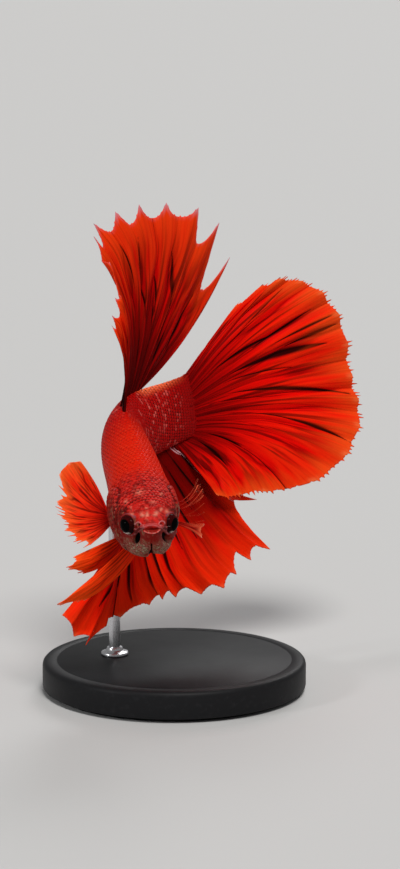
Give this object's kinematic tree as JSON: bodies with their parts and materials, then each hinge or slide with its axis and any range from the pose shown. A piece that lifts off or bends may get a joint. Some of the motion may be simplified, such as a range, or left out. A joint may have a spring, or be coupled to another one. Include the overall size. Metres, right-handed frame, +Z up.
{
  "type": "betta fish model",
  "caption": "Still life-size male betta with spread red fins, head on with its tail swept to one side, held by a rod on a plain round base.",
  "frame": {"origin": "middle of the underside of the stand's base", "axes": "+Z up; the fish looks along -Y, so its left side is at +X, and its tail sweeps round towards +X behind it"},
  "size_m": [0.0523, 0.0598, 0.0773],
  "materials": {
    "skin": "moist red scales with a soft sheen, paler pink specks on the head",
    "fin": "thin red webs between rays, dark red folds, orange edges with pale ray tips",
    "eye": "wet black pupil in a dark reddish-brown iris",
    "stand_base": "satin black disc",
    "stand_rod": "plain bright steel rod"
  },
  "bodies": {
    "root": {"head": "skin", "gill_cover_left": "skin", "gill_cover_right": "skin", "trunk": "skin", "tail_root": "skin", "dorsal_fin": "fin", "caudal_fin": "fin", "anal_fin": "fin", "pectoral_fin_left": "fin", "pectoral_fin_right": "fin", "pelvic_fin_left": "fin", "pelvic_fin_right": "fin", "eye_left": "eye", "eye_right": "eye", "stand_base": "stand_base", "stand_rod": "stand_rod"}
  },
  "joints": []
}
